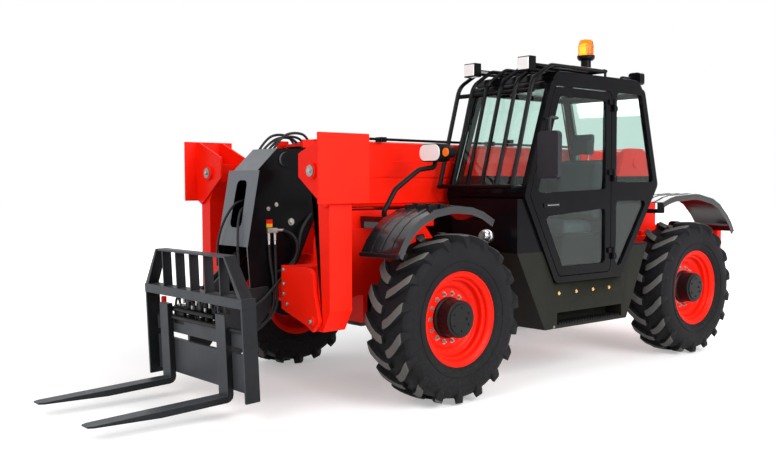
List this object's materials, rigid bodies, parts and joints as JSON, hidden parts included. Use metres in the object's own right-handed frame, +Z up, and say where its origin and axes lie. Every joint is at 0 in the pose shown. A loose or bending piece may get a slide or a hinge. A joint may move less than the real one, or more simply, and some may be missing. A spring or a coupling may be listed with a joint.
{
  "type": "telehandler",
  "caption": "Telescopic handler with a side cab, telescoping boom, pallet fork carriage, steered wheels and swing-down front stabilisers.",
  "frame": {"origin": "middle of the machine's overall box at ground level, under the tyres", "axes": "-Y forwards (towards the forks), +X the machine's left (cab side), +Z up"},
  "size_m": [2.8, 6.4184, 2.84],
  "materials": {
    "red_paint": "orange red gloss paint",
    "black_paint": "black gloss paint",
    "skirt_paint": "olive black satin paint",
    "fork_paint": "dark grey satin paint, worn",
    "frame_paint": "black satin paint",
    "tyre_rubber": "matt black rubber",
    "plastic": "black moulded plastic",
    "seat_cloth": "dark grey cloth",
    "green_glass": "green tinted glass",
    "amber_lens": "clear amber plastic",
    "steel": "ground steel rod"
  },
  "bodies": {
    "machine": {"beacon": "amber_lens", "boom_tower": "red_paint", "cab_base": "skirt_paint", "cab_guard": "black_paint", "cab_interior": "plastic", "cab_roof": "black_paint", "cab_shell": "black_paint", "chassis_frame": "red_paint", "counterweight": "red_paint", "engine_block": "frame_paint", "engine_cover": "black_paint", "front_axle": "frame_paint", "front_frame": "red_paint", "fuel_tank": "skirt_paint", "glass_quarter": "green_glass", "glass_rear": "green_glass", "glass_right": "green_glass", "headlamp_left": "plastic", "headlamp_right": "plastic", "mirror_left": "plastic", "mirror_right": "plastic", "mudguard_fl": "plastic", "mudguard_fr": "plastic", "mudguard_rl": "plastic", "mudguard_rr": "plastic", "rear_axle": "frame_paint", "seat": "seat_cloth", "windscreen": "green_glass"},
    "knuckle_fl_body": {"knuckle_fl": "frame_paint"},
    "wheel_fl_body": {"tyre_fl": "tyre_rubber", "rim_fl": "red_paint"},
    "knuckle_fr_body": {"knuckle_fr": "frame_paint"},
    "wheel_fr_body": {"tyre_fr": "tyre_rubber", "rim_fr": "red_paint"},
    "knuckle_rl_body": {"knuckle_rl": "frame_paint"},
    "wheel_rl_body": {"tyre_rl": "tyre_rubber", "rim_rl": "red_paint"},
    "knuckle_rr_body": {"knuckle_rr": "frame_paint"},
    "wheel_rr_body": {"tyre_rr": "tyre_rubber", "rim_rr": "red_paint"},
    "door": {"cab_door": "black_paint", "glass_door": "green_glass"},
    "hood": {"engine_hood": "black_paint"},
    "leg_left": {"stabiliser_leg_left": "red_paint"},
    "foot_left": {"stabiliser_foot_left": "red_paint"},
    "leg_right": {"stabiliser_leg_right": "red_paint"},
    "foot_right": {"stabiliser_foot_right": "red_paint"},
    "boom": {"boom_outer": "red_paint"},
    "boom_second": {"boom_mid": "red_paint"},
    "boom_third": {"boom_inner": "black_paint", "boom_head": "black_paint"},
    "carriage": {"fork_carriage": "fork_paint", "fork_left": "fork_paint", "fork_right": "fork_paint"},
    "tilt_barrel": {"tilt_cylinder_barrel": "black_paint"},
    "tilt_rod": {"tilt_cylinder_rod": "steel"},
    "lift_barrel": {"lift_cylinder_barrel": "black_paint"},
    "lift_rod": {"lift_cylinder_rod": "steel"}
  },
  "joints": [
    {"name": "steer_fl", "type": "hinge", "parent": "machine", "child": "knuckle_fl_body", "pos_m": [0.8, -0.79077, 0.61], "axis": [0, 0, 1], "range_deg": [-35, 35]},
    {"name": "spin_fl", "type": "hinge", "parent": "knuckle_fl_body", "child": "wheel_fl_body", "pos_m": [0.99, -0.79077, 0.61], "axis": [1, 0, 0], "continuous": true},
    {"name": "steer_fr", "type": "hinge", "parent": "machine", "child": "knuckle_fr_body", "pos_m": [-0.8, -0.79077, 0.61], "axis": [0, 0, 1], "range_deg": [-35, 35]},
    {"name": "spin_fr", "type": "hinge", "parent": "knuckle_fr_body", "child": "wheel_fr_body", "pos_m": [-0.99, -0.79077, 0.61], "axis": [1, 0, 0], "continuous": true},
    {"name": "steer_rl", "type": "hinge", "parent": "machine", "child": "knuckle_rl_body", "pos_m": [0.8, 2.27923, 0.61], "axis": [0, 0, -1], "range_deg": [-35, 35]},
    {"name": "spin_rl", "type": "hinge", "parent": "knuckle_rl_body", "child": "wheel_rl_body", "pos_m": [0.99, 2.27923, 0.61], "axis": [1, 0, 0], "continuous": true},
    {"name": "steer_rr", "type": "hinge", "parent": "machine", "child": "knuckle_rr_body", "pos_m": [-0.8, 2.27923, 0.61], "axis": [0, 0, -1], "range_deg": [-35, 35]},
    {"name": "spin_rr", "type": "hinge", "parent": "knuckle_rr_body", "child": "wheel_rr_body", "pos_m": [-0.99, 2.27923, 0.61], "axis": [1, 0, 0], "continuous": true},
    {"name": "door_hinge", "type": "hinge", "parent": "machine", "child": "door", "pos_m": [1.1346, 1.03793, 1.4], "axis": [0, 0, 1], "range_deg": [0, 110]},
    {"name": "hood_hinge", "type": "hinge", "parent": "machine", "child": "hood", "pos_m": [-0.4006, 0.79923, 1.46], "axis": [0, 1, 0], "range_deg": [0, 60]},
    {"name": "stabiliser_left", "type": "hinge", "parent": "machine", "child": "leg_left", "pos_m": [0.7, -1.72077, 0.64], "axis": [0, 1, 0], "range_deg": [0, 115]},
    {"name": "foot_left_pin", "type": "hinge", "parent": "leg_left", "child": "foot_left", "pos_m": [0.69, -1.72077, 1.66], "axis": [0, -1, 0], "range_deg": [-4, 25]},
    {"name": "stabiliser_right", "type": "hinge", "parent": "machine", "child": "leg_right", "pos_m": [-0.7, -1.72077, 0.64], "axis": [0, -1, 0], "range_deg": [0, 115]},
    {"name": "foot_right_pin", "type": "hinge", "parent": "leg_right", "child": "foot_right", "pos_m": [-0.69, -1.72077, 1.66], "axis": [0, 1, 0], "range_deg": [-4, 25]},
    {"name": "boom_lift", "type": "hinge", "parent": "machine", "child": "boom", "pos_m": [0, 2.60923, 1.78], "axis": [-1, 0, 0], "range_deg": [0, 68]},
    {"name": "telescope", "type": "slide", "parent": "boom", "child": "boom_second", "axis": [0, -1, 0], "range_m": [0, 2.6]},
    {"name": "telescope_inner", "type": "slide", "parent": "boom_second", "child": "boom_third", "axis": [0, -1, 0], "range_m": [0, 2.62]},
    {"name": "carriage_tilt", "type": "hinge", "parent": "boom_third", "child": "carriage", "pos_m": [0, -1.84077, 0.75], "axis": [1, 0, 0], "range_deg": [-15, 90]},
    {"name": "tilt_cylinder_swing", "type": "hinge", "parent": "boom_third", "child": "tilt_barrel", "pos_m": [0, -1.57077, 1.42], "axis": [1, 0, 0], "range_deg": [-4, 18]},
    {"name": "tilt_cylinder_stroke", "type": "slide", "parent": "tilt_barrel", "child": "tilt_rod", "axis": [0, -0.6681, -0.744], "range_m": [-0.06, 0.32]},
    {"name": "lift_cylinder_swing", "type": "hinge", "parent": "machine", "child": "lift_barrel", "pos_m": [0, 2.30923, 0.9], "axis": [-1, 0, 0], "range_deg": [0, 60]},
    {"name": "lift_cylinder_stroke", "type": "slide", "parent": "lift_barrel", "child": "lift_rod", "axis": [0, -0.9269, 0.3752], "range_m": [0, 0.96]}
  ],
  "couplings": [
    {"joint": "steer_fr", "follows": "steer_fl", "ratio": 1},
    {"joint": "steer_rr", "follows": "steer_rl", "ratio": 1},
    {"joint": "telescope_inner", "follows": "telescope", "ratio": 1},
    {"joint": "tilt_cylinder_swing", "follows": "carriage_tilt", "ratio": 0.1516},
    {"joint": "tilt_cylinder_stroke", "follows": "carriage_tilt", "m_per_rad": 0.1874},
    {"joint": "lift_cylinder_swing", "follows": "boom_lift", "ratio": 0.7371},
    {"joint": "lift_cylinder_stroke", "follows": "boom_lift", "m_per_rad": 0.7806}
  ]
}
